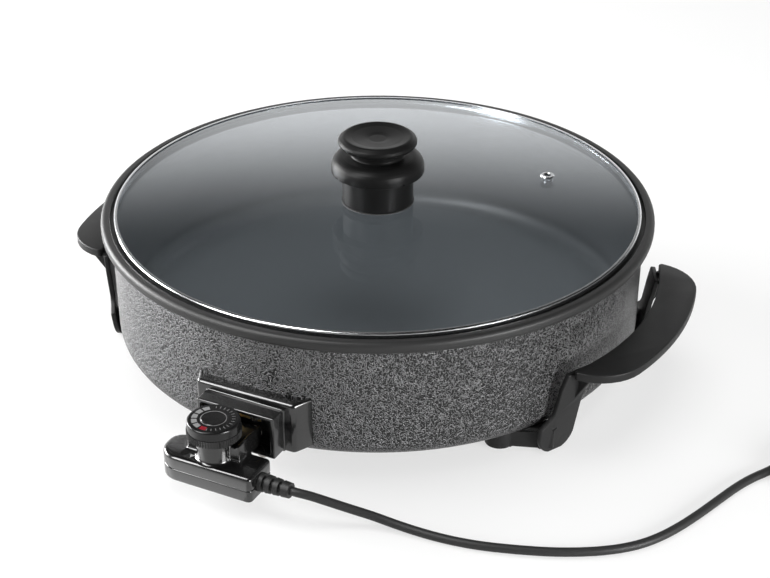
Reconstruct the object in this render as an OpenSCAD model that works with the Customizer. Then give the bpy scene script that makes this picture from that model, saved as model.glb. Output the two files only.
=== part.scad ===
// Round electric pizza pan with a loose glass lid and a plug-in thermostat, in millimetres.
// Origin on the pan's axis at the table, +Z up, socket towards -Y, handles towards -X and +X.

/* [Pan] */
// Outer radius of the rolled rim
rim_r = 210; // [195:1:225]
// Height of the rim's top above the table
rim_top = 115.5; // [105:0.5:130]
// Width of the rim from its edge to the lid's ledge
rim_w = 7; // [6:0.5:9]
// How far the rim stands out from the wall
rim_overhang = 7.5; // [6.5:0.5:9]
// Height of the rim's bead
bead_h = 9; // [8:0.5:12]
// Radius that rounds the bead's outer edge
bead_r = 3.5; // [2:0.5:4]
// Depth of the lid's ledge below the rim's top
ledge_depth = 3.8; // [3:0.1:5]
// How much further out the wall is at its top than at its foot
wall_draft = 1; // [0:0.5:2]
// Thickness of the wall
wall_t = 4.5; // [4:0.5:5]
// Height of the pan's underside above the table
base_z = 16.5; // [15.5:0.5:18]
// Thickness of the base
base_t = 4; // [3:0.5:6]
// Outer radius of the corner between base and wall
corner_r = 14; // [12:0.5:17]
// Inner radius of the corner between base and wall
inner_corner_r = 12; // [10:0.5:16]
// Depth of the ribs beside the heating tube
rib_h = 5; // [3:0.5:7]

/* [Heater] */
// Radius of the heating tube's ring
heater_r = 130; // [110:1:150]
// Radius of the heating tube itself
tube_r = 3.5; // [3.2:0.1:4]
// Bend radius where the ring turns into its two legs
elbow_r = 14; // [12:1:20]
// Bend radius where the legs turn up to the terminals
riser_bend = 9; // [8:0.5:10]

/* [Socket] */
// Width of the front of the wing that lies on the wall
wing_w = 80; // [74:1:84]
// How much further out each side of the wing is at the wall than at its front
wing_flare = 5; // [0:0.5:7]
// Depth of the wing in front of the wall
wing_depth = 8.5; // [7.5:0.5:10]
// Height of the wing's lower edge above the table
wing_z = 26; // [24:0.5:28]
// Height of the wing's upper edge above the table
wing_top = 64.5; // [61:0.5:70]
// Width of the collar round the opening
collar_w = 61; // [58:1:64]
// Depth of the collar in front of the wall
collar_depth = 22; // [20:0.5:26]
// Thickness of the collar's sides
collar_wall = 3.5; // [2.5:0.5:4]
// Thickness of the collar's upper and lower walls
collar_lip = 3; // [2:0.5:4]
// Height of the collar's top above the table
collar_top = 59; // [58:0.5:61]
// Depth of the back plate's front in front of the wall
plate_depth = 11.3; // [11:0.1:13]
// Thickness of the back plate
plate_t = 2; // [1.6:0.1:3]
// Distance between the two terminal pins
terminal_gap = 28; // [26:0.5:30]
// Height of the pins and the probe above the table
terminal_z = 37; // [36:0.5:38]
// Radius of a terminal pin
pin_r = 2.5; // [2:0.1:2.7]
// How far the pins stand out from the back plate
pin_out = 8.7; // [7:0.1:10]
// Distance between the two socket screws
screw_gap = 30; // [26:1:34]
// Height of the socket screws above the table
screw_z = 51; // [50.5:0.5:52]

/* [Thermostat] */
// Width of the case
case_w = 75.5; // [70:0.5:84]
// Depth of the case
case_depth = 29; // [27:0.5:32]
// Height of the case
case_h = 19.2; // [18.5:0.1:20]
// Height of the case's underside above the table
case_z = 13.5; // [12.5:0.1:14]
// Place of the case's middle, across
case_x = -1; // [-3:0.5:4]
// Gap between the socket's collar and the case
case_gap = 7; // [5:0.5:9]
// Thickness of the case's walls
case_wall = 2; // [1.5:0.1:2.4]
// Height of the seam above the case's underside
seam_h = 9.2; // [8.5:0.1:10]
// Radius of the case's round front corner
case_corner = 16; // [10:1:18]
// Radius of the case's round back corner, on the same side
case_back_corner = 10; // [6:1:11]
// Radius of the tower that carries the dial
tower_r = 12.5; // [9:0.1:13]
// Place of the dial's axis, across
dial_x = 1; // [-3:0.5:4]
// Radius of the dial
dial_r = 19; // [17:0.1:20]
// Height of the dial
dial_h = 13.4; // [12:0.1:17]
// Radius of the dial's spindle
spindle_r = 3; // [2.5:0.1:3.5]
// Radius of the temperature probe
probe_r = 3; // [2.5:0.1:3.4]

/* [Lid] */
// Thickness of the glass
glass_t = 4; // [3:0.5:6]
// How much higher the glass is in the middle than at its edge
glass_rise = 1.5; // [1:0.5:12]
// Gap between the lid's band and the rim
lid_gap = 3; // [2:0.5:4]
// Width of the lid's band, seen from above
band_w = 2.6; // [2:0.2:6]
// Thickness of the band's sheet
band_t = 0.5; // [0.4:0.1:0.8]
// Distance of the vent from the lid's middle
vent_r = 139.7; // [90:0.1:160]
// Direction of the vent from the lid's middle, in degrees
vent_a = 45; // [0:1:360]
// Bore radius of the vent's eyelet
vent_bore = 2.6; // [1.5:0.1:3.5]

/* [Knob] */
// Radius of the knob's base
knob_base_r = 27; // [24:0.5:30]
// Height of the knob's base
knob_base_h = 24.1; // [16:0.1:28]
// Radius of the knob's finger guard
guard_r = 35.3; // [32:0.1:40]
// Height of the finger guard
guard_h = 13; // [10:0.1:14]
// Height of the finger guard's upright edge
guard_edge = 4.4; // [3:0.1:6]
// Radius of the knob's neck
knob_neck_r = 20; // [16:0.5:22]
// Radius of the knob's grip
knob_r = 29.8; // [26:0.1:33]
// Height of the knob's top above the finger guard
knob_rise = 15.5; // [14:0.1:22]
// Number of notches in the finger guard's lower edge
notch_n = 8; // [4:1:12]

/* [Handles] */
// Gap between the rim and the grip, seen from above
grip_gap = 6.6; // [4:0.2:10]
// Width of a grip, outwards
grip_w = 28.4; // [24:0.2:36]
// Length of a grip
grip_len = 178.6; // [164:0.2:188]
// Height of a grip's underside above the table
grip_z = 62; // [56:0.5:68]
// Thickness of a grip
grip_t = 6.6; // [6:0.2:10]
// Radius of a grip's inner corners
grip_corner = 2.5; // [1.5:0.5:5]
// Thickness of a leg, outwards
leg_t = 4; // [3.5:0.5:6]
// Angle between a leg and the handle's length, in degrees
leg_a = 26.9; // [22:0.1:30]
// How far a leg leans out, in degrees
leg_lean = 7; // [4:0.5:10]
// Radius of the heel that stands on the table
heel_r = 16.2; // [14:0.2:18]
// Distance of the heel's outer side from the wall's foot
heel_out = 5.3; // [5:0.1:9]
// Radius of the boss round a handle screw
boss_r = 10.5; // [9:0.5:12]
// Radius of a handle screw's shank
handle_screw_r = 2.5; // [2:0.1:3]

/* [Cord] */
// Radius of the mains cord
cord_r = 3.1; // [2.5:0.1:3.3]
// Length of the strain relief outside the case
relief_len = 23; // [20:1:34]
// Outer radius of the coil, at the cord's middle
coil_out = 40.7; // [36:0.1:46]
// Distance between neighbouring turns of the coil
coil_pitch = 6.7; // [6.6:0.1:7.5]
// Thickness of the cord tie
tie_t = 1; // [0.8:0.1:2]
// Width of the cord tie
tie_w = 8; // [5:0.5:12]
// Radius of the mains plug
plug_r = 18.5; // [17:0.5:20]
// Radius of a plug pin
plug_pin_r = 2.4; // [2:0.1:2.6]
// Distance between the plug pins
plug_pin_gap = 19; // [17:0.5:20]
// Length of a plug pin
plug_pin_len = 19; // [15:0.5:20]

/* [Hidden] */
$fn = 96;

// Clearances: pressed and screwed together, sliding or turning, and between bodies that only rest
fit_gap = 0.05;
run_gap = 0.08;
rest_gap = 0.3;
far = 300;

// Pan
ledge_r = rim_r - rim_w;
ledge_z = rim_top - ledge_depth;
bead_z = rim_top - bead_h;
wall_top_r = rim_r - rim_overhang;
wall_r = wall_top_r - wall_draft;
floor_z = base_z + base_t;
rib_t = 3;
rib_gap = 1;
collar_r = tube_r + 0.6;
collar_len = 5;

// Socket, by depth from the wall's foot towards -Y
wall_y = -wall_r;
leg_x = terminal_gap / 2;
riser_y = wall_y - 5.7;
wing_y = wall_y - wing_depth;
collar_y = wall_y - collar_depth;
collar_z = wing_z + 0.5;
opening_w = collar_w - 2 * collar_wall;
opening_z = collar_z + collar_lip;
opening_top = collar_top - collar_lip;
plate_y = wall_y - plate_depth;
plate_back = plate_y + plate_t;
bay_side = 2.5;
bay_w = terminal_gap + 2 * (tube_r + bay_side);
riser_top = terminal_z + tube_r + 1.5;
bay_top = riser_top + 2;
probe_boss_r = probe_r + 2.5;
probe_boss_y = plate_back + 2.3;
well_y = wall_y - 1.5;
screw_boss_r = 4.3;
screw_boss_y = plate_back + 3.3;
screw_r = 2;
screw_head_r = 3.5;
screw_head_h = 2.2;
earth_t = 0.8;
bush_r = pin_r + 2;
bush_out = 1.7;

// Thermostat
neck_y = plate_y - 2.3;
neck_w = terminal_gap + 13;
neck_up = 7;
neck_down = 6;
ridge_h = 1.5;
ridge_w = 2.5;
sleeve_r = pin_r + run_gap + 1.4;
sleeve_len = 16.4;
case_x0 = case_x - case_w / 2;
case_x1 = case_x + case_w / 2;
case_back = collar_y - case_gap;
case_front = case_back - case_depth;
case_top = case_z + case_h;
cavity_z = case_z + case_wall;
cavity_top = case_top - case_wall;
seam_z = case_z + seam_h;
small_corner = 3;
dial_gap = 2;
dial_y = collar_y - dial_gap - dial_r;
dial_z = terminal_z + neck_up + ridge_h + 3.8;
bush_flange = 1;
spindle_bush_r = spindle_r + 2;
strip_w = 3;
strip_y = case_back - case_wall - 1 - strip_w;
cam_r = strip_y - dial_y - 0.8;
cam_h = 2.5;
cam_z = cavity_top - bush_flange - 0.5 - cam_h;
shell_screw_r = 1.4;
shell_head_r = 2.6;
shell_screw_xy = [
    [case_x0 + 8, (case_front + case_back) / 2 + 1],
    [case_x1 - 6.5, case_front + 6],
];
pillar_z = cavity_z + 2.4;
relief_y = (case_front + case_back) / 2;
relief_z = seam_z;
relief_r = 6.8;
relief_neck_r = 4;

// Lid
band_r = ledge_r - lid_gap;
band_z = ledge_z + rest_gap;
band_round = 1.3;
glass_play = 0.3;
band_h = glass_t + 2 * (band_t + glass_play);
glass_r = band_r - band_t - glass_play;
glass_edge = band_z + band_t + glass_play + glass_t;
glass_top = glass_edge + glass_rise;
dome_r = (glass_r * glass_r + glass_rise * glass_rise) / (2 * glass_rise);
function glass_z(r) = glass_top - dome_r + sqrt(dome_r * dome_r - r * r);
glass_bore = 4;
eyelet_r = vent_bore + 1.3;
eyelet_flange = eyelet_r + 1.6;

// Knob
gasket_t = 0.6;
gasket_in = knob_base_r - 4;
gasket_z = glass_z(gasket_in) + fit_gap;
knob_z = gasket_z + gasket_t;
guard_z = knob_z + knob_base_h;
guard_top = guard_z + guard_h;
knob_top = guard_top + knob_rise;
guard_round = guard_h - guard_edge;
knob_wall = 4;
post_r = 8;
insert_r = 5;
insert_len = 15;
washer_t = 1;
knob_screw_r = 2;

// Handles
grip_in = rim_r + grip_gap;
grip_out = grip_in + grip_w;
grip_half = grip_len / 2;
foot_x = (wall_r + heel_out) * cos(leg_a);
foot_y = (wall_r + heel_out) * sin(leg_a);
foot_sink = 1.4;
heel_w = 6;
leg_edge = 23.4;
web_t = 4;
web_z = 40;
web_out = 12;
arm_top = base_z + 4;
boss_in = 22;
boss_a = 34;
boss_z = 2.5;
boss_xy = (wall_r - boss_in) * [cos(boss_a), sin(boss_a)];
arm_w = 13;
arm_xy = [
    foot_x + heel_w * sin(leg_a) - leg_t / 2 * cos(leg_a),
    foot_y - heel_w * cos(leg_a) - leg_t / 2 * sin(leg_a),
];
screw_recess = 3.7;
handle_head_r = 2 * handle_screw_r;
handle_head_h = 3.4;
handle_screw_deep = 2.5;

// Cord: the free stretch's own points, then the coil that puts the rest of the length away
cord_start = [case_x1 + relief_len, relief_y, relief_z];
cord_points = [
    cord_start, cord_start + [5, 0, 0], [73.5, -242.2, 20.9], [83, -238.7, 17.8], [98, -232.9, 12.6],
    [112.5, -227.9, 8.2], [127.3, -225.6, 5.3], [142.9, -224.4, 3.8], [158.7, -223.2, 3.2],
    [175.5, -221.2, 3.2], [190.5, -218, 3.2], [205.4, -213.5, 3.2], [217.6, -209.3, 3.2],
    [229.9, -204.5, 3.2],
    [241.6, -199, 3.2], [253.1, -192.6, 3.2], [263.4, -185.7, 3.2], [272.9, -177.8, 3.2],
    [281.4, -168.6, 3.2], [288.8, -157.6, 3.2], [295.7, -143.8, 3.2], [301.8, -128.4, 3.2],
    [307.8, -110.6, 3.2], [313.4, -92.8, 3.2], [318.3, -78.2, 3.2], [324.4, -64, 3.2],
    [332.6, -49.6, 3.4],
];
table_gap = 0.1;
coil_xy = [387, -35];
coil_a = 150;
coil_turns = 4;
coil_rings = 24;
coil_straight = 7;
tie_play = 0.6;
tie_play_z = 0.3;
layer_step = 2 * cord_r + 0.6;
coil_z = table_gap + tie_t + tie_play_z + cord_r;
coil_heading = [cos(coil_a - 90), sin(coil_a - 90), 0];
coil_mid = coil_out - coil_pitch * coil_turns / 4;
lead_len = 56;
plug_z = plug_r + table_gap;
boot_len = 26;
plug_len = 72;
clip_t = 1;
clip_w = 5;
clip_len = 13;

function unit(v) = v / norm(v);
function smooth(x) = let (s = min(1, max(0, x))) s * s * (3 - 2 * s);
function arc(cx, cy, r, a0, a1, n) =
    [for (i = [0:n]) let (a = a0 + (a1 - a0) * i / n) [cx + r * cos(a), cy + r * sin(a)]];

// One polyhedron swept along a path, with its first and last ring square to the path's ends
function along(path, i) = unit(path[min(i + 1, len(path) - 1)] - path[max(i - 1, 0)]);
function ring(c, t, r, sides) =
    let (s = unit(cross(t, [0, 0, 1])), u = cross(s, t))
    [for (k = [0:sides - 1]) c + r * (cos(360 * k / sides) * s + sin(360 * k / sides) * u)];
module tube(path, r, sides) {
    last = len(path) - 1;
    points = [for (i = [0:last]) each ring(path[i], along(path, i), r, sides)];
    skin = [for (i = [0:last - 1], k = [0:sides - 1])
        let (a = i * sides + k, b = i * sides + (k + 1) % sides)
        each [[a, a + sides, b], [b, a + sides, b + sides]]];
    start = [for (k = [1:sides - 2]) [0, k, k + 1]];
    end = [for (k = [1:sides - 2]) [last * sides, last * sides + k + 1, last * sides + k]];
    polyhedron(points, concat(skin, start, end));
}

// A cylinder that lies along Y, from the nearer depth to the farther one
module rod_y(x, z, r, y0, y1) {
    translate([x, y1, z])
        rotate([-90, 0, 0])
            cylinder(r = r, h = y0 - y1);
}

// The pan's outer face below its rim, grown by a gap
function pan_outer(gap) = concat(
    [[0, base_z - gap]],
    arc(wall_r - corner_r, base_z + corner_r, corner_r + gap, -90, 0, 8),
    [[wall_top_r + gap, bead_z], [0, bead_z]]
);

pan_inner = concat(
    [[ledge_r, ledge_z], [wall_top_r - wall_t, ledge_z]],
    arc(wall_r - wall_t - inner_corner_r, floor_z + inner_corner_r, inner_corner_r, 0, -90, 10),
    [[0, floor_z]]
);

pan_profile = concat(
    [[0, base_z]],
    arc(wall_r - corner_r, base_z + corner_r, corner_r, -90, 0, 8),
    [[wall_top_r, bead_z - 1]],
    arc(rim_r - bead_r, bead_z + bead_r, bead_r, -90, 0, 6),
    arc(rim_r - bead_r, rim_top - bead_r, bead_r, 0, 90, 6),
    arc(ledge_r + 1, rim_top - 1, 1, 90, 180, 3),
    pan_inner
);

module pan() {
    color("#3a3a3b")
        difference() {
            union() {
                rotate_extrude() polygon(pan_profile);
                heater_ribs();
                rod_y(0, terminal_z, probe_boss_r, wall_y + wall_t / 2, probe_boss_y);
                for (x = [-1, 1])
                    rod_y(x * screw_gap / 2, screw_z, screw_boss_r, wall_y + wall_t / 2, screw_boss_y);
            }
            rod_y(0, terminal_z, probe_r + run_gap, well_y, probe_boss_y - 1);
            for (x = [-1, 1])
                rod_y(x * screw_gap / 2, screw_z, screw_r + fit_gap, wall_y + 0.5, screw_boss_y - 1);
            for (x = [-1, 1], y = [-1, 1])
                translate([x * boss_xy[0], y * boss_xy[1], base_z - 1])
                    cylinder(r = handle_screw_r + fit_gap, h = handle_screw_deep + 1.5);
        }
}

// Two ribs under the base, with the outer one open where the tube's legs pass
module heater_ribs() {
    rib_in = heater_r - tube_r - rib_gap - rib_t;
    rib_out = heater_r + tube_r + rib_gap;
    difference() {
        translate([0, 0, base_z - rib_h])
            union() {
                rotate_extrude() translate([rib_in, 0]) square([rib_t, rib_h + 1]);
                rotate_extrude() translate([rib_out, 0]) square([rib_t, rib_h + 1]);
            }
        translate([-leg_x - elbow_r - 6, -far, base_z - rib_h - 1])
            cube([2 * (leg_x + elbow_r + 6), far - heater_r, rib_h + 1]);
    }
}

// Tubular heater: an open ring under the base, two legs to the socket and two upturned ends.
// Crimped collars join the ring, the elbows and the legs, and bear on the base.
module heating_element() {
    tube_z = base_z - collar_r - 0.2;
    ring_a = acos((leg_x + elbow_r) / (heater_r + elbow_r));
    elbow_y = -(heater_r + elbow_r) * sin(ring_a);
    leg_end = riser_y + riser_bend;
    color("#6d6a66")
        difference() {
            union() {
                translate([0, 0, tube_z])
                    rotate([0, 0, -ring_a])
                        rotate_extrude(angle = 180 + 2 * ring_a)
                            translate([heater_r, 0]) circle(tube_r);
                for (side = [0, 1])
                    mirror([side, 0, 0]) {
                        translate([heater_r * cos(ring_a), -heater_r * sin(ring_a), tube_z])
                            rotate([90, 0, -ring_a])
                                cylinder(r = collar_r, h = collar_len, center = true);
                        translate([leg_x + elbow_r, elbow_y, tube_z])
                            rotate([0, 0, 180 - ring_a])
                                rotate_extrude(angle = ring_a)
                                    translate([elbow_r, 0]) circle(tube_r);
                        rod_y(leg_x, tube_z, collar_r, elbow_y + collar_len / 2, elbow_y - collar_len / 2);
                        rod_y(leg_x, tube_z, tube_r, elbow_y, leg_end);
                        translate([leg_x, leg_end, tube_z + riser_bend])
                            rotate([180, 90, 0])
                                rotate_extrude(angle = 90)
                                    translate([riser_bend, 0]) circle(tube_r);
                        translate([leg_x, riser_y, tube_z + riser_bend])
                            cylinder(r = tube_r, h = riser_top - tube_z - riser_bend);
                    }
            }
            for (x = [-leg_x, leg_x])
                rod_y(x, terminal_z, pin_r + fit_gap, riser_y + 2 * tube_r, riser_y - 2 * tube_r);
        }
}

module terminal_pins() {
    pin_back = riser_y + tube_r - 0.3;
    pin_tip = plate_y - pin_out;
    color("#c9c7c1")
        for (x = [-leg_x, leg_x])
            translate([x, pin_back, terminal_z])
                rotate([90, 0, 0])
                    rotate_extrude()
                        polygon(concat(
                            [[0, 0], [pin_r, 0]],
                            arc(pin_r - 1.5, pin_back - pin_tip - 1.5, 1.5, 0, 90, 4),
                            [[0, pin_back - pin_tip]]
                        ));
}

// Ceramic bushes that keep the pins off the back plate
module terminal_insulators() {
    color("#e8e4da")
        for (x = [-leg_x, leg_x])
            difference() {
                rod_y(x, terminal_z, bush_r, plate_back - 0.1, plate_y - bush_out);
                rod_y(x, terminal_z, pin_r + fit_gap, plate_back + 1, plate_y - bush_out - 1);
            }
}

wing_round = 4;
housing_x = 4.5;
wing_back = wing_w / 2 + wing_flare;
wing_outline = concat(
    [[-wing_back, wall_y + 20], [-wing_back, wall_y + 4.5]],
    arc(-wing_w / 2 + wing_round, wing_y + wing_round, wing_round, 202, 270, 4),
    arc(wing_w / 2 - wing_round, wing_y + wing_round, wing_round, 270, 338, 4),
    [[wing_back, wall_y + 4.5], [wing_back, wall_y + 20]]
);

// Socket on the wall: a curved wing, a collar round the opening and a back plate with its holes
module socket_housing() {
    color("#151516")
        difference() {
            union() {
                translate([housing_x, 0, wing_z])
                    linear_extrude(wing_top - wing_z) polygon(wing_outline);
                translate([housing_x - collar_w / 2, collar_y, collar_z])
                    cube([collar_w, collar_depth, collar_top - collar_z]);
            }
            rotate_extrude() polygon(pan_outer(fit_gap));
            translate([housing_x - opening_w / 2, collar_y - 1, opening_z])
                cube([opening_w, plate_y - collar_y + 1, opening_top - opening_z]);
            translate([-bay_w / 2, plate_back, wing_z - 1])
                cube([bay_w, far, bay_top - wing_z + 1]);
            rod_y(0, terminal_z, probe_r + 0.6, plate_back + 1, plate_y - 1);
            for (x = [-leg_x, leg_x])
                rod_y(x, terminal_z, bush_r + fit_gap, plate_back + 1, plate_y - 1);
            for (x = [-1, 1]) {
                rod_y(x * screw_gap / 2, screw_z, screw_r + 0.2, wall_y, plate_y - 1);
                rod_y(x * screw_gap / 2, screw_z, screw_boss_r + rest_gap, wall_y + 9, screw_boss_y - 0.2);
            }
        }
}

module earth_plate() {
    color("#c2a25a")
        difference() {
            translate([-screw_gap / 2 - 4, plate_y - earth_t, screw_z - 4])
                cube([screw_gap + 8, earth_t, 8]);
            for (x = [-1, 1])
                rod_y(x * screw_gap / 2, screw_z, screw_r + 0.2, plate_y + 1, plate_y - earth_t - 1);
        }
}

module socket_screws() {
    seat = plate_y - earth_t;
    color("#b9b9b6")
        for (x = [-1, 1]) {
            rod_y(x * screw_gap / 2, screw_z, screw_r, wall_y - 0.2, seat);
            difference() {
                rod_y(x * screw_gap / 2, screw_z, screw_head_r, seat, seat - screw_head_h);
                translate([x * screw_gap / 2 - screw_head_r, seat - screw_head_h - 1, screw_z - 0.4])
                    cube([2 * screw_head_r, 2, 0.8]);
            }
        }
}

// Outline of a leg, seen square to it from outside: along the wall towards the handle's middle, and up
leg_outline = concat(
    [[8.5, grip_z + 3], [4.5, grip_z - 9], [1, 33], [-3, 28], [heel_w - heel_r, 23]],
    arc(heel_w, heel_r - foot_sink, heel_r, 180, 360, 20),
    [[leg_edge, 25], [leg_edge + 1.5, 39], [leg_edge + 6, grip_z - 10], [leg_edge + 9, grip_z + 3]]
);

// Outline of the web that stays the leg under the grip: inwards, and up
web_outline = [[1, web_z], [-web_out, grip_z + 5], [1, grip_z + 5]];

// Outline of a grip, from above: two arcs about the pan's axis, joined by a large round at each end
grip_nose_x = sqrt(pow(grip_in + grip_corner, 2) - pow(grip_half - grip_corner, 2));
grip_nose_a = atan2(grip_half - grip_corner, grip_nose_x);
grip_end_r = (grip_out * grip_out - grip_half * grip_half - grip_nose_x * grip_nose_x)
    / (2 * (grip_out - grip_half));
grip_end_a = atan2(grip_half - grip_end_r, grip_nose_x);
grip_outline = concat(
    arc(0, 0, grip_out, -grip_end_a, grip_end_a, 20),
    arc(grip_nose_x, grip_half - grip_end_r, grip_end_r, grip_end_a, 90, 8),
    arc(grip_nose_x, grip_half - grip_corner, grip_corner, 90, 180 + grip_nose_a, 5),
    arc(0, 0, grip_in, grip_nose_a, -grip_nose_a, 20),
    arc(grip_nose_x, grip_corner - grip_half, grip_corner, 180 - grip_nose_a, 270, 5),
    arc(grip_nose_x, grip_end_r - grip_half, grip_end_r, -90, -grip_end_a, 8)
);

// One moulded handle on the +X side: the grip, two legs with their heels, and two screw bosses
module handle() {
    difference() {
        union() {
            translate([0, 0, grip_z])
                linear_extrude(grip_t) polygon(grip_outline);
            for (side = [0, 1])
                mirror([0, side, 0]) {
                    translate([foot_x, -foot_y, 0])
                        rotate([90 + leg_lean, 0, 90 - leg_a])
                            union() {
                                translate([0, 0, -leg_t])
                                    linear_extrude(leg_t) polygon(leg_outline);
                                translate([leg_edge - web_t - 1, 0, 0])
                                    rotate([0, 90, 0])
                                        linear_extrude(web_t) polygon(web_outline);
                            }
                    translate([arm_xy[0], -arm_xy[1], boss_z + 0.5])
                        rotate([0, 0, atan2(arm_xy[1] - boss_xy[1], boss_xy[0] - arm_xy[0])])
                            translate([0, -arm_w / 2, 0])
                                cube([norm(boss_xy - arm_xy), arm_w, arm_top - boss_z - 0.5]);
                    translate([boss_xy[0], -boss_xy[1], boss_z])
                        cylinder(r = boss_r, h = base_z - 0.1 - boss_z);
                }
        }
        rotate_extrude() polygon(pan_outer(0.1));
        translate([0, -far / 2, -far])
            cube([far, far, far]);
        for (side = [-1, 1])
            translate([boss_xy[0], side * boss_xy[1], 0]) {
                cylinder(r = handle_screw_r + 0.2, h = base_z + 1);
                cylinder(r = handle_head_r + 0.3, h = boss_z + screw_recess);
            }
    }
}

module handle_left() {
    color("#262627")
        mirror([1, 0, 0]) handle();
}

module handle_right() {
    color("#262627")
        handle();
}

// Screws that hold one handle from below
module handle_screws() {
    seat = boss_z + screw_recess;
    for (side = [-1, 1])
        translate([boss_xy[0], side * boss_xy[1], seat - handle_head_h]) {
            difference() {
                cylinder(r = handle_head_r, h = handle_head_h);
                for (turn = [0, 90])
                    rotate([0, 0, turn])
                        translate([-handle_head_r * 0.6, -0.5, -1])
                            cube([handle_head_r * 1.2, 1, 2.6]);
            }
            cylinder(r = handle_screw_r, h = base_z + handle_screw_deep - seat + handle_head_h);
        }
}

module handle_screws_left() {
    color("#a9a9a6")
        mirror([1, 0, 0]) handle_screws();
}

module handle_screws_right() {
    color("#a9a9a6")
        handle_screws();
}

// Place of something that stands square on the glass at the vent
module at_vent() {
    rotate([0, 0, vent_a])
        translate([vent_r, 0, glass_z(vent_r)])
            rotate([0, asin(vent_r / dome_r), 0])
                children();
}

module glass_lid() {
    steps = 12;
    color("#a9b4b8", 0.5)
        difference() {
            rotate_extrude()
                polygon(concat(
                    [for (i = [0:steps]) let (r = glass_r * i / steps) [r, glass_z(r)]],
                    [for (i = [steps:-1:0]) let (r = glass_r * i / steps) [r, glass_z(r) - glass_t]]
                ));
            translate([0, 0, glass_top - 2 * glass_t])
                cylinder(r = glass_bore, h = 4 * glass_t);
            at_vent()
                translate([0, 0, -2 * glass_t])
                    cylinder(r = eyelet_r + 0.2, h = 4 * glass_t);
        }
}

// The band's outline with its outer corners rounded, drawn in by its sheet and let out at its open side
function band_outline(sheet, open) = concat(
    [[-open, sheet]],
    arc(band_w - band_round, band_round, band_round - sheet, -90, 0, 4),
    arc(band_w - band_round, band_h - band_round, band_round - sheet, 0, 90, 4),
    [[-open, band_h - sheet]]
);

// Steel band folded round the edge of the glass
module lid_band() {
    color("#c8cacb")
        rotate_extrude()
            translate([band_r - band_w, band_z])
                difference() {
                    polygon(band_outline(0, 0));
                    polygon(band_outline(band_t, 1));
                }
}

module vent_eyelet() {
    lip = 0.7;
    color("#cfd1d2")
        at_vent()
            rotate_extrude()
                polygon([
                    [vent_bore, -glass_t - fit_gap - lip], [eyelet_flange - 1, -glass_t - fit_gap - lip],
                    [eyelet_flange - 1, -glass_t - fit_gap], [eyelet_r, -glass_t - fit_gap],
                    [eyelet_r, fit_gap], [eyelet_flange, fit_gap],
                    [eyelet_flange - 0.5, fit_gap + lip], [vent_bore + 0.5, fit_gap + lip],
                    [vent_bore, fit_gap + lip - 0.5],
                ]);
}

knob_profile = concat(
    [[insert_r + fit_gap, knob_z], [post_r, knob_z], [post_r, guard_z - 3]],
    [[knob_base_r - knob_wall, guard_z - 3], [knob_base_r - knob_wall, knob_z]],
    arc(knob_base_r - 1, knob_z + 1, 1, -90, 0, 3),
    [[knob_base_r, guard_z]],
    arc(guard_r - 0.8, guard_z + 0.8, 0.8, -90, 0, 3),
    arc(guard_r - guard_round, guard_top - guard_round, guard_round, 0, 86, 7),
    arc(knob_neck_r + 1.5, guard_top + 1.6, 1.5, -90, -180, 4),
    arc(knob_neck_r + 7, knob_top - 13.5, 7, 180, 105, 5),
    arc(knob_r - 3.2, knob_top - 4.4, 3.2, -70, 50, 7),
    arc(knob_r - 5, knob_top - 3.6, 3.6, 60, 100, 3),
    [[0.65 * knob_r, knob_top - 0.9], [0.58 * knob_r, knob_top - 1.1]],
    [[0.35 * knob_r, knob_top - 1.8], [0.22 * knob_r, knob_top - 2.3], [0, knob_top - 2.4]],
    [[0, knob_z + insert_len + 0.3], [insert_r + fit_gap, knob_z + insert_len + 0.3]]
);

module lid_knob() {
    notch_w = 3.7;
    color("#121213")
        difference() {
            rotate_extrude() polygon(knob_profile);
            for (i = [0:notch_n - 1])
                rotate([0, 0, (i + 0.3) * 360 / notch_n])
                    translate([guard_r - 2, -notch_w / 2, guard_z - 1])
                        cube([4, notch_w, 2.6]);
        }
}

module knob_insert() {
    color("#c2a25a")
        translate([0, 0, knob_z + 0.2])
            difference() {
                cylinder(r = insert_r, h = insert_len - 0.2);
                translate([0, 0, -1])
                    cylinder(r = knob_screw_r + fit_gap, h = insert_len + 2);
            }
}

washer_top = glass_top - glass_t - 0.1;

module knob_washer() {
    color("#b9b9b6")
        translate([0, 0, washer_top - washer_t])
            difference() {
                cylinder(r = 2.5 * glass_bore, h = washer_t);
                translate([0, 0, -1])
                    cylinder(r = knob_screw_r + 0.2, h = washer_t + 2);
            }
}

module knob_screw() {
    head_h = 2.4;
    seat = washer_top - washer_t;
    color("#b9b9b6")
        union() {
            difference() {
                translate([0, 0, seat - head_h])
                    cylinder(r = 2.2 * knob_screw_r, h = head_h);
                translate([-0.5, -far / 2, seat - head_h - 1])
                    cube([1, far, 2]);
            }
            translate([0, 0, seat - 0.1])
                cylinder(r = knob_screw_r, h = knob_z + insert_len - 2 - seat);
        }
}

module knob_gasket() {
    color("#b7b3a8")
        translate([0, 0, gasket_z])
            difference() {
                cylinder(r = knob_base_r + 0.6, h = gasket_t);
                translate([0, 0, -1])
                    cylinder(r = gasket_in, h = gasket_t + 2);
            }
}

// The case's outline, drawn in by a wall
function case_outline(wall) = concat(
    arc(case_x0 + case_corner, case_front + case_corner, case_corner - wall, 180, 270, 8),
    arc(case_x1 - small_corner, case_front + small_corner, small_corner - wall, 270, 360, 3),
    arc(case_x1 - small_corner, case_back - small_corner, small_corner - wall, 0, 90, 3),
    arc(case_x0 + case_back_corner, case_back - case_back_corner, case_back_corner - wall, 90, 180, 6)
);

// Room for the strain relief's neck, half in each shell
module relief_hole() {
    translate([case_x1 - case_wall - 1, relief_y, relief_z])
        rotate([0, 90, 0])
            cylinder(r = relief_neck_r + 0.1, h = case_wall + 2);
}

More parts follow.
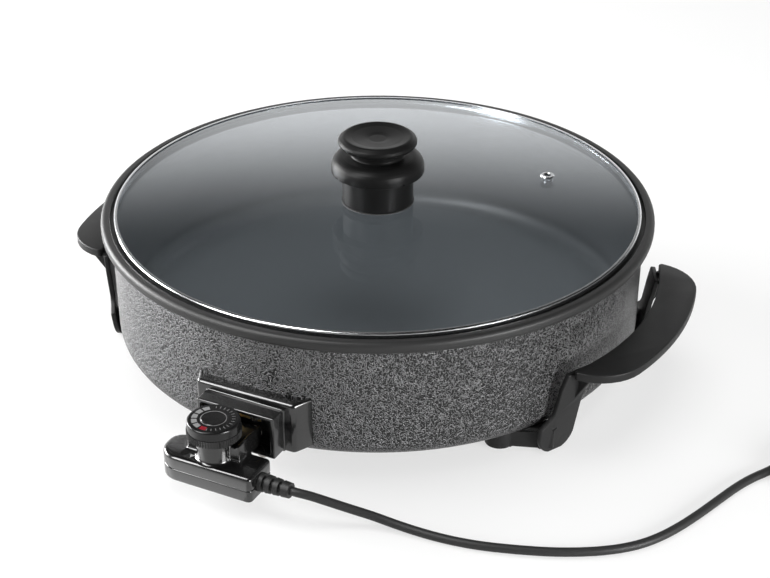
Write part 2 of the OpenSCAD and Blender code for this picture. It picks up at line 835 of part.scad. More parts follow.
module thermostat_lower() {
    color("#141415")
        difference() {
            union() {
                difference() {
                    translate([0, 0, case_z])
                        linear_extrude(seam_h) polygon(case_outline(0));
                    translate([0, 0, cavity_z])
                        linear_extrude(seam_h) polygon(case_outline(case_wall));
                }
                for (p = shell_screw_xy)
                    translate([p[0], p[1], case_z])
                        cylinder(r = shell_head_r + 1.5, h = pillar_z - case_z);
            }
            for (p = shell_screw_xy)
                translate([p[0], p[1], case_z - 1]) {
                    cylinder(r = shell_head_r + 0.2, h = pillar_z - case_z - 1);
                    cylinder(r = shell_screw_r + 0.15, h = pillar_z - case_z + 2);
                }
            relief_hole();
        }
}

// Upper shell with the tower under the dial and the neck that goes into the socket
module thermostat_upper() {
    color("#141415")
        difference() {
            union() {
                difference() {
                    translate([0, 0, seam_z])
                        linear_extrude(case_top - seam_z) polygon(case_outline(0));
                    translate([0, 0, seam_z - 1])
                        linear_extrude(cavity_top - seam_z + 1) polygon(case_outline(case_wall));
                }
                for (p = shell_screw_xy)
                    translate([p[0], p[1], pillar_z])
                        cylinder(r = shell_head_r + 1, h = case_top - 1 - pillar_z);
                translate([dial_x, dial_y, cavity_top])
                    cylinder(r = tower_r, h = dial_z - rest_gap - cavity_top);
                translate([-neck_w / 2, dial_y - 1, terminal_z - neck_down])
                    cube([neck_w, neck_y - dial_y + 1, neck_up + neck_down]);
                translate([-neck_w / 2, dial_y - 1, cavity_top + 0.5])
                    cube([neck_w, case_back - dial_y, terminal_z - cavity_top]);
                for (x = [-neck_w / 2, neck_w / 2 - ridge_w])
                    translate([x, dial_y - 1, terminal_z + neck_up - 1])
                        cube([ridge_w, neck_y - dial_y + 1, ridge_h + 1]);
            }
            for (p = shell_screw_xy)
                translate([p[0], p[1], pillar_z - 1])
                    cylinder(r = shell_screw_r + fit_gap, h = cavity_top - pillar_z);
            translate([dial_x, dial_y, cavity_top - 1])
                cylinder(r = spindle_bush_r + fit_gap, h = far);
            translate([-neck_w / 2 + 2, neck_y - sleeve_len - 7, cavity_top - 1])
                cube([neck_w - 4, 6.8, terminal_z + 4 - cavity_top]);
            for (x = [-leg_x, leg_x])
                rod_y(x, terminal_z, sleeve_r + fit_gap, neck_y + 1, neck_y - sleeve_len - 1);
            rod_y(0, terminal_z, probe_r + fit_gap, neck_y + 1, neck_y - sleeve_len - 1);
            relief_hole();
        }
}

module probe() {
    tip = well_y - 1;
    back = neck_y - sleeve_len - 4;
    color("#bdbcb8")
        translate([0, back, terminal_z])
            rotate([-90, 0, 0])
                rotate_extrude()
                    polygon(concat(
                        [[0, 0], [probe_r, 0]],
                        arc(probe_r - 2, tip - back - 2, 2, 0, 90, 4),
                        [[0, tip - back]]
                    ));
}

// Sleeves that take the terminal pins
module receptacles() {
    color("#c2a25a")
        for (x = [-leg_x, leg_x])
            difference() {
                rod_y(x, terminal_z, sleeve_r, neck_y - 0.2, neck_y - sleeve_len);
                rod_y(x, terminal_z, pin_r + run_gap, neck_y + 1, neck_y - sleeve_len + 1.5);
            }
}

// Bent leaf on top of the neck that reaches up to the earth plate
module earth_spring() {
    leaf_w = 8;
    leaf_t = 0.5;
    top = terminal_z + neck_up;
    color("#cbb06a")
        translate([leaf_w / 2, 0, 0])
            rotate([90, 0, -90])
                linear_extrude(leaf_w)
                    polygon([
                        [-neck_y + 1.4, top + 0.8], [-neck_y + 3.4, top + 2], [-neck_y + 6.6, top],
                        [-neck_y + 12.4, top], [-neck_y + 12.4, top + leaf_t], [-neck_y + 6.4, top + leaf_t],
                        [-neck_y + 3.4, top + 2 + leaf_t], [-neck_y + 1.4, top + 0.8 + leaf_t],
                    ]);
}

// Contact set inside the case: two leaves held in one ceramic block on the lower shell's floor
stack_x = case_x0 + case_back_corner - 1.5;
stack_w = 10;
leaf_z = cam_z - 1.5;
leaf_t = 0.5;
bimetal_z = leaf_z - 2.5;
bimetal_t = 0.8;
stack_h = leaf_z + 2.5 - cavity_z;
strip_len = 40;

module contact_stack() {
    color("#e6e2d6")
        difference() {
            translate([stack_x, strip_y - 0.7, cavity_z])
                cube([stack_w, strip_w + 1.4, stack_h]);
            translate([stack_x - 1, strip_y - fit_gap, bimetal_z - fit_gap])
                cube([stack_w + 2, strip_w + 2 * fit_gap, bimetal_t + 2 * fit_gap]);
            translate([stack_x - 1, strip_y - fit_gap, leaf_z - fit_gap])
                cube([stack_w + 2, strip_w + 2 * fit_gap, leaf_t + 2 * fit_gap]);
        }
}

module bimetal_strip() {
    color("#b98d52")
        translate([stack_x - 0.5, strip_y, bimetal_z])
            cube([strip_len, strip_w, bimetal_t]);
}

module contact_leaf() {
    stud_r = 1.2;
    color("#cbb06a")
        union() {
            translate([stack_x - 0.5, strip_y, leaf_z])
                cube([strip_len, strip_w, leaf_t]);
            translate([stack_x + strip_len - 3, strip_y + strip_w / 2, bimetal_z + bimetal_t + 0.4])
                cylinder(r = stud_r, h = leaf_z - bimetal_z - bimetal_t);
        }
}

// Flanged bush in the tower that the spindle turns in
module spindle_bush() {
    color("#c2a25a")
        translate([dial_x, dial_y, 0])
            difference() {
                union() {
                    translate([0, 0, cavity_top - bush_flange])
                        cylinder(r = spindle_bush_r + 1.5, h = bush_flange);
                    translate([0, 0, cavity_top - bush_flange])
                        cylinder(r = spindle_bush_r, h = dial_z - rest_gap - cavity_top + bush_flange);
                }
                translate([0, 0, cavity_top - 2 * bush_flange])
                    cylinder(r = spindle_r + run_gap, h = far);
            }
}

module shell_screws() {
    seat = pillar_z - 2;
    head_h = 1.6;
    color("#a9a9a6")
        for (p = shell_screw_xy)
            translate([p[0], p[1], seat - head_h]) {
                difference() {
                    cylinder(r = shell_head_r, h = head_h);
                    translate([-shell_head_r, -0.35, -1])
                        cube([2 * shell_head_r, 0.7, 1.8]);
                }
                cylinder(r = shell_screw_r, h = cavity_top - 2.5 - seat + head_h);
            }
}

// Turning knob of the thermostat, with a fluted skirt under a smooth cap
skirt_h = 5.2;
flute_n = 60;
flute_depth = 0.5;
spindle_in = 10;
cap_r = 8.6;
cap_t = 0.8;
skirt_outline = [for (i = [0:2 * flute_n - 1])
    let (r = dial_r - flute_depth * (i % 2), a = 180 * i / flute_n)
    [r * cos(a), r * sin(a)]];

module dial() {
    crown_r = dial_r - 0.6;
    color("#101011")
        translate([dial_x, dial_y, dial_z])
            difference() {
                union() {
                    rotate_extrude()
                        polygon([[0, 0], [crown_r - 1.2, 0], [crown_r - 0.2, 1.2], [0, 1.2]]);
                    translate([0, 0, 1.2])
                        linear_extrude(skirt_h) polygon(skirt_outline);
                    rotate_extrude()
                        polygon(concat(
                            [[0, skirt_h], [crown_r, skirt_h]],
                            arc(crown_r - 1.6, dial_h - 1.6, 1.6, 0, 90, 5),
                            [[0, dial_h]]
                        ));
                }
                translate([0, 0, -1])
                    cylinder(r = spindle_r + fit_gap, h = spindle_in + 1.2);
                translate([0, 0, dial_h - cap_t])
                    cylinder(r = cap_r + fit_gap, h = 2);
            }
}

module dial_cap() {
    color("#1c1c1e")
        translate([dial_x, dial_y, dial_z + dial_h - cap_t])
            rotate_extrude()
                polygon([[0, 0], [cap_r, 0], [cap_r, cap_t], [cap_r - 0.4, cap_t + 0.3], [0, cap_t + 0.3]]);
}

// Spindle with the cam that works the contacts
module dial_spindle() {
    color("#bdbcb8")
        translate([dial_x, dial_y, 0])
            union() {
                translate([0, 0, cam_z - 1])
                    cylinder(r = spindle_r, h = dial_z + spindle_in - cam_z + 1);
                translate([0, 0, cam_z])
                    cylinder(r = cam_r, h = cam_h);
            }
}

// Ribbed sleeve where the cord leaves the case, held by a flat flange inside
module strain_relief() {
    ribs = 3;
    rib_step = 6;
    end_r = relief_r - 1.4;
    groove = 2.2;
    function taper(s) = relief_r + (end_r - relief_r) * s / relief_len;
    color("#161617")
        translate([case_x1, relief_y, relief_z]) {
            rotate([0, 90, 0])
                rotate_extrude()
                    polygon(concat(
                        [[0, -case_wall - 1], [relief_neck_r, -case_wall - 1], [relief_neck_r, 0.2]],
                        [[relief_r, 0.2]],
                        [for (i = [0:ribs - 1]) each [
                            [taper(3 + i * rib_step), 3 + i * rib_step],
                            [taper(3 + i * rib_step) - groove, 3.3 + i * rib_step],
                            [taper(5 + i * rib_step) - groove, 5.3 + i * rib_step],
                            [taper(5 + i * rib_step), 5.6 + i * rib_step],
                        ]],
                        [[end_r, relief_len], [0, relief_len]]
                    ));
            translate([-case_wall - 2.1, -4.2, -(relief_z - cavity_z) + 0.2])
                cube([2, 8.4, cavity_top - cavity_z - 0.4]);
        }
}

// The coil: it spirals in, climbs to its second layer in the half turn where it reverses, and out again
function coil_point(t) =
    let (r = coil_out - coil_pitch * min(t, coil_turns - t))
    let (climb = smooth((t - coil_turns / 2 + 0.25) / 0.5))
    [
        coil_xy[0] + r * cos(coil_a - 360 * t),
        coil_xy[1] + r * sin(coil_a - 360 * t),
        coil_z + layer_step * climb,
    ];
coil_start = coil_point(0) - coil_straight * coil_heading;
coil_end = coil_point(coil_turns) + coil_straight * coil_heading;
coil_path = concat(
    [coil_start],
    [for (i = [0:coil_turns * coil_rings]) coil_point(i / coil_rings)],
    [coil_end]
);
cord_path = concat(cord_points, [coil_start - 10 * coil_heading, coil_start]);
lead_path = [for (i = [0:7])
    let (s = lead_len * i / 7)
    coil_end + s * coil_heading + [0, 0, (plug_z - coil_end[2]) * smooth((s - 8) / (lead_len - 16))]];
plug_at = coil_end + lead_len * coil_heading;

coil_gap = min([for (i = [0:len(coil_path) - 1], j = [i + coil_rings / 2:1:len(coil_path) - 1])
    norm(coil_path[i] - coil_path[j]) - 2 * cord_r]);
echo(coil_gap = coil_gap);

module power_cord() {
    color("#151515")
        tube(cord_path, cord_r, 10);
}

module cord_coil() {
    color("#151515")
        tube(coil_path, cord_r, 6);
}

module plug_lead() {
    color("#151515")
        tube(lead_path, cord_r, 10);
}

module cord_tie() {
    hold_w = coil_pitch * (coil_turns / 2 - 1) + 2 * (cord_r + tie_play);
    hold_h = layer_step + 2 * (cord_r + tie_play_z);
    color("#2b2b2b")
        translate([coil_xy[0], coil_xy[1], table_gap])
            rotate([90, 0, coil_a + 180])
                translate([coil_mid, 0, -tie_w / 2])
                    linear_extrude(tie_w)
                        difference() {
                            translate([-hold_w / 2 - tie_t, 0])
                                square([hold_w + 2 * tie_t, hold_h + 2 * tie_t]);
                            translate([-hold_w / 2, tie_t])
                                square([hold_w, hold_h]);
                        }
}

// Place of the plug: its axis along +Z becomes the cord's heading
module at_plug() {
    translate([plug_at[0], plug_at[1], plug_z])
        rotate([0, 90, coil_a - 90])
            children();
}

module plug_body() {
    grip_r = plug_r - 4.5;
    color("#161616")
        at_plug()
            difference() {
                rotate_extrude()
                    polygon(concat(
                        [[0, 0], [cord_r + 1.2, 0], [cord_r + 3.4, boot_len]],
                        arc(cord_r + 7, boot_len + 0.2, 3.6, 180, 100, 4),
                        arc(grip_r - 4, boot_len + 10, 4, 75, 0, 4),
                        [[grip_r + 1, plug_len - 20], [plug_r, plug_len - 14]],
                        arc(plug_r - 1.5, plug_len - 1.5, 1.5, 0, 90, 4),
                        [[0, plug_len]]
                    ));
                for (side = [-1, 1]) {
                    translate([0, side * plug_pin_gap / 2, plug_len - 12])
                        cylinder(r = plug_pin_r + fit_gap, h = 14);
                    translate([side * (plug_r - 1) - 2, -clip_w / 2 - 0.2, plug_len - clip_len - 0.2])
                        cube([4, clip_w + 0.4, clip_len + 2]);
                }
            }
}

module plug_pins() {
    color("#c9c7c1")
        at_plug()
            for (side = [-1, 1])
                translate([0, side * plug_pin_gap / 2, plug_len - 12])
                    rotate_extrude()
                        polygon(concat(
                            [[0, 0], [plug_pin_r, 0]],
                            arc(plug_pin_r - 2, 12 + plug_pin_len - 2, 2, 0, 90, 4),
                            [[0, 12 + plug_pin_len]]
                        ));
}

module plug_earth_clips() {
    color("#c2a25a")
        at_plug()
            for (side = [-1, 1])
                translate([side * (plug_r - 2.4) - clip_t / 2, -clip_w / 2, plug_len - clip_len])
                    cube([clip_t, clip_w, clip_len]);
}

pan();
heating_element();
terminal_pins();
terminal_insulators();
socket_housing();
socket_screws();
earth_plate();
handle_left();
handle_right();
handle_screws_left();
handle_screws_right();
lid_band();
vent_eyelet();
lid_knob();
knob_insert();
knob_screw();
knob_washer();
knob_gasket();
thermostat_upper();
thermostat_lower();
probe();
receptacles();
earth_spring();
bimetal_strip();
contact_leaf();
contact_stack();
spindle_bush();
shell_screws();
dial();
dial_cap();
dial_spindle();
strain_relief();
power_cord();
cord_coil();
cord_tie();
plug_lead();
plug_body();
plug_pins();
plug_earth_clips();
glass_lid();
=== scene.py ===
import math

import bpy
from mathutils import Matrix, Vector


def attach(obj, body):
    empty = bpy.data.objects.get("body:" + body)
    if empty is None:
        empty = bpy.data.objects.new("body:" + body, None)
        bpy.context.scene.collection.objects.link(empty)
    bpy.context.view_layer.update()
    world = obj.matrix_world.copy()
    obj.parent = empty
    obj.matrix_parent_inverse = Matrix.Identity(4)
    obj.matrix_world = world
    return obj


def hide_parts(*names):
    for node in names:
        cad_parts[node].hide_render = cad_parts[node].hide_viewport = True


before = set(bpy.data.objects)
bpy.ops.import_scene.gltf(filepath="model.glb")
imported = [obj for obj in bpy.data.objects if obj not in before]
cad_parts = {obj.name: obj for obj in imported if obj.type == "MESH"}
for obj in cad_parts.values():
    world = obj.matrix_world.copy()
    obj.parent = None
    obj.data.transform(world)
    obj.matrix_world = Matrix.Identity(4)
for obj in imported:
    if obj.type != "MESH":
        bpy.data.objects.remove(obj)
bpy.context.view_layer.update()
scene = bpy.context.scene
scene.view_settings.view_transform = "Standard"


# Camera: it stands in front of the pan and a little to its right, and looks down on it
# as the photograph does. Its lens is a long one, so the pan's near side isn't stretched.
camera_turn = 26.9
camera_rise = 29.28
camera_data = bpy.data.cameras.new("camera")
camera_data.sensor_fit = "HORIZONTAL"
camera_data.sensor_width = 36
camera_data.lens = 83.455
camera_data.clip_end = 50
camera = bpy.data.objects.new("camera", camera_data)
camera.location = (0.55735, -1.08655, 0.72446)
camera.rotation_euler = (math.radians(90 - camera_rise), 0, math.radians(camera_turn))
scene.collection.objects.link(camera)
scene.camera = camera


# Mains cord: one round rubber-sheathed cord of 6.2 mm that leaves the thermostat's sleeve, comes
# down to the table and runs on it. The rest is wound up in a coil of two layers, out to the plug.
# Its route is in millimetres, as in the part's source.
cord_radius = 0.0031
cord_route = [
    (59.75, -245, 22.7), (64.75, -245, 22.7), (73.5, -242.2, 20.9), (83, -238.7, 17.8),
    (98, -232.9, 12.6), (112.5, -227.9, 8.2), (127.3, -225.6, 5.3), (142.9, -224.4, 3.8),
    (158.7, -223.2, 3.2), (175.5, -221.2, 3.2), (190.5, -218, 3.2), (205.4, -213.5, 3.2),
    (217.6, -209.3, 3.2), (229.9, -204.5, 3.2), (241.6, -199, 3.2), (253.1, -192.6, 3.2),
    (263.4, -185.7, 3.2), (272.9, -177.8, 3.2), (281.4, -168.6, 3.2), (288.8, -157.6, 3.2),
    (295.7, -143.8, 3.2), (301.8, -128.4, 3.2), (307.8, -110.6, 3.2), (313.4, -92.8, 3.2),
    (318.3, -78.2, 3.2), (324.4, -64, 3.2), (332.6, -49.6, 3.4),
]
coil_middle = (387, -35)
coil_turn = 150
coil_outer = 40.7
coil_pitch = 6.7
coil_turns = 4
coil_steps = 24
coil_floor = 4.5
coil_layer = 6.8
coil_climb = 0.5
coil_run = 7
coil_entry = 10
lead_length = 56
lead_step = 8
plug_height = 18.6


def ease(x):
    x = min(1, max(0, x))
    return x * x * (3 - 2 * x)


def coil_point(t):
    """A point of the coil, t turns along: the cord spirals in, climbs and spirals out again."""
    radius = coil_outer - coil_pitch * min(t, coil_turns - t)
    angle = math.radians(coil_turn - 360 * t)
    climb = ease((t - coil_turns / 2) / coil_climb + 0.5)
    return (coil_middle[0] + radius * math.cos(angle), coil_middle[1] + radius * math.sin(angle),
            coil_floor + coil_layer * climb)


def ahead(point, distance, height=0):
    """A point further on, along the way that the cord goes into the coil and out of it."""
    heading = math.radians(coil_turn - 90)
    return (point[0] + distance * math.cos(heading), point[1] + distance * math.sin(heading),
            point[2] + height)


coil_in = ahead(coil_point(0), -coil_run)
coil_out = ahead(coil_point(coil_turns), coil_run)
lead_climb = plug_height - coil_out[2]
cord_route += [ahead(coil_in, -coil_entry), coil_in]
cord_route += [coil_point(i / coil_steps) for i in range(coil_steps * coil_turns + 1)]
cord_route += [ahead(coil_out, s, lead_climb * ease((s - lead_step) / (lead_length - 2 * lead_step)))
               for s in range(0, lead_length + 1, lead_step)]
cord_curve = bpy.data.curves.new("mains_cord", "CURVE")
cord_curve.dimensions = "3D"
cord_curve.bevel_depth = cord_radius
cord_curve.bevel_resolution = 5
cord_curve.resolution_u = 3
cord_curve.use_fill_caps = True
cord_line = cord_curve.splines.new("BEZIER")
cord_line.bezier_points.add(len(cord_route) - 1)
for knot, place in zip(cord_line.bezier_points, cord_route):
    knot.co = [0.001 * c for c in place]
    knot.handle_left_type = knot.handle_right_type = "AUTO"
cord = bpy.data.objects.new("mains_cord", cord_curve)
scene.collection.objects.link(cord)
bpy.context.view_layer.update()


class Value:
    """A shader value. Operators on it add Math nodes, and node() adds any other node."""

    def __init__(self, tree, socket):
        self.tree = tree
        self.socket = socket

    def node(self, kind, settings=None, inputs=None, output=0):
        made = self.tree.nodes.new("ShaderNode" + kind)
        for key, setting in (settings or {}).items():
            setattr(made, key, setting)
        for key, value in (inputs or {}).items():
            if isinstance(value, Value):
                self.tree.links.new(value.socket, made.inputs[key])
            else:
                made.inputs[key].default_value = value
        return Value(self.tree, made.outputs[output]) if made.outputs else None

    def math(self, operation, *others):
        return self.node("Math", {"operation": operation}, dict(enumerate((self, *others))))

    def __add__(self, other):
        return self.math("ADD", other)

    def __sub__(self, other):
        return self.math("SUBTRACT", other)

    def __rsub__(self, other):
        return self.node("Math", {"operation": "SUBTRACT"}, {0: other, 1: self})

    def __mul__(self, other):
        return self.math("MULTIPLY", other)

    def __gt__(self, other):
        return self.math("GREATER_THAN", other)

    def __lt__(self, other):
        return self.math("LESS_THAN", other)

    __radd__ = __add__
    __rmul__ = __mul__

    def between(self, low, high):
        return (self > low) * (self < high)

    def spread(self, low, high, to_low, to_high, shape="LINEAR"):
        return self.node("MapRange", {"interpolation_type": shape},
                         {0: self, 1: low, 2: high, 3: to_low, 4: to_high})

    def mix(self, low, high):
        """Goes from one colour to the other as this value goes from 0 to 1. A number is a grey."""
        ends = [c if isinstance(c, (Value, tuple)) else (c, c, c) for c in (low, high)]
        low, high = (c if isinstance(c, Value) else (*c, 1) for c in ends)
        return self.node("Mix", {"data_type": "RGBA"}, {0: self, 6: low, 7: high}, 2)

    def bump(self, distance, strength):
        return self.node("Bump", {}, {"Height": self, "Distance": distance, "Strength": strength})

    def noise(self, scale, detail, roughness=0.5):
        return self.node("TexNoise", {}, {"Vector": self, "Scale": scale, "Detail": detail,
                                          "Roughness": roughness})

    def axis(self, letter):
        return self.node("SeparateXYZ", {}, {0: self}, "XYZ".index(letter))

    def radius(self):
        """How far this place is from the upright axis through its origin."""
        x = self.axis("X")
        y = self.axis("Y")
        return (x * x + y * y).math("SQRT")

    def seen_from(self, point):
        return self.node("VectorMath", {"operation": "SUBTRACT"}, {0: self, 1: point})


class Finish:
    """A material: its shader's constants are set here, and what varies is linked to it."""

    def __init__(self, name, **constants):
        self.material = bpy.data.materials.new(name)
        self.material.use_nodes = True
        self.tree = self.material.node_tree
        self.shader = self.tree.nodes["Principled BSDF"]
        self.place = Value(self.tree, self.tree.nodes.new("ShaderNodeTexCoord").outputs["Object"])
        for constant, value in constants.items():
            socket_name = constant.replace("_", " ").title().replace("Ior", "IOR")
            self.shader.inputs[socket_name].default_value = value

    def link(self, socket_name, value):
        self.tree.links.new(value.socket, self.shader.inputs[socket_name])

    def mottle(self, scale, detail, dark, light, roughness=None, place=None):
        """Noise that runs between two colours, and between two roughnesses where they are given."""
        grain = (place or self.place).noise(scale, detail)
        self.link("Base Color", grain.mix(dark, light))
        if roughness:
            self.link("Roughness", grain.spread(0.3, 0.7, *roughness))
        return grain

    def on(self, *names):
        for name in names:
            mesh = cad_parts[name].data
            mesh.materials.clear()
            mesh.materials.append(self.material)


sheath = Finish("cord_rubber", specular_ior_level=0.3)
sheath_grain = sheath.mottle(scale=900, detail=3, dark=0.012, light=0.022, roughness=(0.42, 0.56))
sheath.link("Normal", sheath_grain.bump(distance=0.00005, strength=0.5))
cord_curve.materials.append(sheath.material)
sheath.on("strain_relief", "plug_body")
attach(cord, "thermostat")
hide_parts("power_cord", "cord_coil", "plug_lead")
[0.001 * c for c in cord_route[0]]


# Cord tie: a plain strap of matte black plastic, with a fine grain from its mould. It is closed
# round the coil's turns.
tie = Finish("tie_black", roughness=0.6)
tie_grain = tie.mottle(scale=700, detail=2, dark=0.02, light=0.035)
tie.link("Normal", tie_grain.bump(distance=0.00004, strength=0.5))
tie.on("cord_tie")


# Plated steel: pins, screws, the washer, the probe and the spindle, turned or headed and
# then zinc or nickel plated.
plate = Finish("plated_steel", metallic=1.0)
plate.mottle(scale=350, detail=4, dark=(0.5, 0.49, 0.47), light=(0.66, 0.65, 0.62), roughness=(0.18, 0.36))
plate.on("terminal_pins", "socket_screws", "handle_screws_left", "handle_screws_right", "knob_screw",
         "knob_washer", "probe", "shell_screws", "dial_spindle", "plug_pins")


# Brass: the contact sleeves, the earth plate and spring, the bush, the knob's insert and the
# plug's earth clips, stamped or turned and left plain.
brass = Finish("brass", metallic=1.0)
brass.mottle(scale=260, detail=4, dark=(0.5, 0.36, 0.15), light=(0.72, 0.55, 0.27), roughness=(0.24, 0.42))
brass.on("receptacles", "earth_plate", "earth_spring", "contact_leaf", "spindle_bush", "knob_insert",
         "plug_earth_clips")


# Bimetal strip: two metals rolled into one leaf, darker than the brass beside it. It is held
# in the ceramic block, and bends as it warms.
bimetal = Finish("bimetal", metallic=1.0)
bimetal.mottle(scale=400, detail=3, dark=(0.42, 0.27, 0.13), light=(0.56, 0.38, 0.2), roughness=(0.3, 0.45))
bimetal.on("bimetal_strip")


# Ceramic: the bushes round the terminal pins and the block that holds the contacts, pressed,
# fired and left unglazed.
ceramic = Finish("ceramic", roughness=0.55)
ceramic_speck = ceramic.mottle(scale=1100, detail=4, dark=(0.66, 0.62, 0.54), light=(0.82, 0.79, 0.72))
ceramic.link("Normal", ceramic_speck.bump(distance=0.00005, strength=0.6))
ceramic.on("terminal_insulators", "contact_stack")


# Heating tube: a sheathed steel tube, bent to a ring under the base with its two ends turned up
# to the terminal pins. Heat has dulled and stained it a little.
heater = Finish("heater_tube", metallic=1.0)
heater.mottle(scale=45, detail=5, dark=(0.2, 0.18, 0.16), light=(0.4, 0.37, 0.34), roughness=(0.38, 0.6))
heater.on("heating_element")


# Pan: pressed aluminium, with dark grey hammertone paint outside, a smooth satin black rim and a
# slate grey non-stick coat inside. The middle of the wall's thickness parts inside from outside.
rim_underside = 0.1062
rim_throat = 0.1985
base_middle = 0.0185
corner_top = 0.027
wall_top = 0.11
corner_start = 0.188
wall_middle = 0.198
wall_draft = 0.0023
paint = Finish("hammer_paint", specular_ior_level=0.35)
paint_worms = paint.place.noise(scale=560, detail=1.5, roughness=0.45)
paint_height = (paint_worms - 0.5).math("ABSOLUTE").spread(0, 0.09, 1, 0)
pan_z = paint.place.axis("Z")
pan_r = paint.place.radius()
half_wall = (pan_z.spread(base_middle, corner_top, corner_start, wall_middle)
             + pan_z.spread(corner_top, wall_top, 0, wall_draft))
on_rim = (pan_z > rim_underside) * (pan_r > rim_throat)
inside = (1 - on_rim) * (pan_z > base_middle) * (pan_r < half_wall)
outside = (1 - on_rim) * (1 - inside)
hammer_color = paint_height.mix(0.04, (0.19, 0.19, 0.193))
# The coat is drawn darker on the floor and lighter from 40 mm up the wall.
coat_color = pan_z.spread(0.022, 0.04, 0, 1).mix((0.158, 0.169, 0.177), (0.23, 0.24, 0.25))
coat_grain = paint.place.noise(scale=900, detail=3)
coat_height = coat_grain * 0.06
paint.link("Base Color", outside.mix(inside.mix(0.012, coat_color), hammer_color))
paint.link("Metallic", outside * 0.92)
paint.link("Roughness", outside * 0.02 + inside * 0.06 + on_rim * 0.15
           + coat_grain.spread(0.3, 0.7, 0.3, 0.38))
paint.link("Normal", (outside * paint_height + (1 - outside) * coat_height).bump(0.0004, 0.8))
paint.on("pan")


# Handles: one moulding of matte black phenolic each, with the grip, two legs and the heels that
# the pan stands on. Two screws from below hold it to the base.
def rounded(name, width, finish, body, wide_width=0.0, wide=None, hidden=None):
    """A copy of a moulding with its sharp edges rounded, which is shown in the solid's place.

    Edges that wide picks get the wider round, and those that hidden picks stay sharp.
    """
    flat_angle = math.radians(0.6)
    smooth_angle = math.radians(32)
    sharp_angle = math.radians(38)
    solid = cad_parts[name]
    piece = solid.copy()
    piece.data = solid.data.copy()
    piece.name = piece.data.name = name + "_moulding"
    piece.parent = None
    scene.collection.objects.link(piece)
    piece.matrix_world = solid.matrix_world
    bpy.ops.object.select_all(action="DESELECT")
    piece.select_set(True)
    bpy.context.view_layer.objects.active = piece
    bpy.ops.object.mode_set(mode="EDIT")
    bpy.ops.mesh.select_all(action="SELECT")
    bpy.ops.mesh.remove_doubles(threshold=2e-6)
    bpy.ops.mesh.dissolve_limited(angle_limit=flat_angle)
    bpy.ops.mesh.select_all(action="DESELECT")
    bpy.ops.mesh.select_mode(type="EDGE")
    bpy.ops.mesh.edges_select_sharp(sharpness=sharp_angle)
    bpy.ops.object.mode_set(mode="OBJECT")
    weights = piece.data.attributes.new("bevel_weight_edge", "FLOAT", "EDGE")
    points = piece.data.vertices
    for line, weight in zip(piece.data.edges, weights.data):
        if line.select:
            a, b = (points[i].co for i in line.vertices)
            if not (hidden and hidden(a, b)):
                weight.value = 1 if wide and wide(a, b) else width / max(width, wide_width)
    edge = piece.modifiers.new("edge", "BEVEL")
    edge.width = max(width, wide_width)
    edge.segments = 4
    edge.limit_method = "WEIGHT"
    edge.use_clamp_overlap = False
    edge.miter_outer = "MITER_ARC"
    bpy.ops.object.modifier_apply(modifier="edge")
    bpy.ops.object.shade_smooth_by_angle(angle=smooth_angle)
    piece.data.materials.clear()
    piece.data.materials.append(finish.material)
    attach(piece, body)
    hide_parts(name)


handle_edge = 0.001
phenolic = Finish("handle_black", specular_ior_level=0.22)
phenolic.mottle(scale=60, detail=3, dark=0.009, light=(0.014, 0.014, 0.0142), roughness=(0.4, 0.5))
phenolic_grain = phenolic.place.noise(scale=1300, detail=3)
phenolic.link("Normal", phenolic_grain.bump(distance=0.00005, strength=0.5))
rounded("handle_left", handle_edge, phenolic, "pan")
rounded("handle_right", handle_edge, phenolic, "pan")


# Socket housing: a glossy black moulding that is screwed to the wall, with a wing that lies on
# the wall and a collar round the opening. The wing's upper edge has the widest round.
def polish(finish):
    """The faint waves that a polished mould leaves in a glossy surface."""
    wave = finish.place.noise(scale=55, detail=3)
    finish.link("Roughness", wave.spread(0.3, 0.7, 0.16, 0.24))
    finish.link("Normal", wave.bump(distance=0.00015, strength=0.4))


def dusty_black(finish):
    """Black with a few paler specks."""
    return finish.place.noise(scale=1500, detail=2).spread(0.62, 0.72, 0, 1).mix(0.006, 0.014)


def on_wing_top(a, b):
    return min(a.z, b.z) > wing_shoulder and min(a.y, b.y) < wing_middle


def on_wall(a, b):
    return max(a.xy.length, b.xy.length) < wall_reach


wing_shoulder = 0.063
wing_middle = -0.2034
wall_reach = 0.2036
gloss = Finish("gloss_black", coat_weight=0.4, coat_roughness=0.06)
gloss.link("Base Color", dusty_black(gloss))
polish(gloss)
rounded("socket_housing", 0.0012, gloss, "pan", wide_width=0.003, wide=on_wing_top,
        hidden=on_wall)


# Glass lid: a shallow dome of clear tempered glass. It mirrors the bright backdrop more and more
# towards a flat view, and lets the rest through.
mirror_power = 6
mirror_gain = 4.9
glass_material = bpy.data.materials.new("lid_glass")
glass_material.use_nodes = True
glass_tree = glass_material.node_tree
glass_tree.nodes.clear()
glass_facing = Value(glass_tree, glass_tree.nodes.new("ShaderNodeLayerWeight").outputs["Facing"])
glass_clear = glass_facing.node("BsdfTransparent", {}, {"Color": (0.95, 0.965, 0.975, 1)})
glass_mirror = glass_facing.node("BsdfAnisotropic", {}, {"Color": (0.96, 0.98, 1, 1), "Roughness": 0.015})
glass_share = glass_facing.math("POWER", mirror_power) * mirror_gain
glass_shader = glass_share.node("MixShader", {}, {0: glass_share, 1: glass_clear, 2: glass_mirror})
glass_shader.node("OutputMaterial", {}, {"Surface": glass_shader})
glass_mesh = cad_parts["glass_lid"].data
glass_mesh.materials.clear()
glass_mesh.materials.append(glass_material)


# Lid band and vent eyelet: stainless steel, rolled round the edge of the glass and of the vent,
# and polished along the ring, which leaves fine lines.
steel_stretch = 60
steel = Finish("band_steel", metallic=1.0)
steel_section = steel.place.node("CombineXYZ", {}, {0: steel.place.radius() * steel_stretch,
                                                    1: steel.place.axis("Z") * steel_stretch})
steel.mottle(scale=90, detail=3, dark=(0.55, 0.56, 0.57), light=(0.72, 0.73, 0.74), roughness=(0.14, 0.28),
             place=steel_section)
steel.on("lid_band", "vent_eyelet")


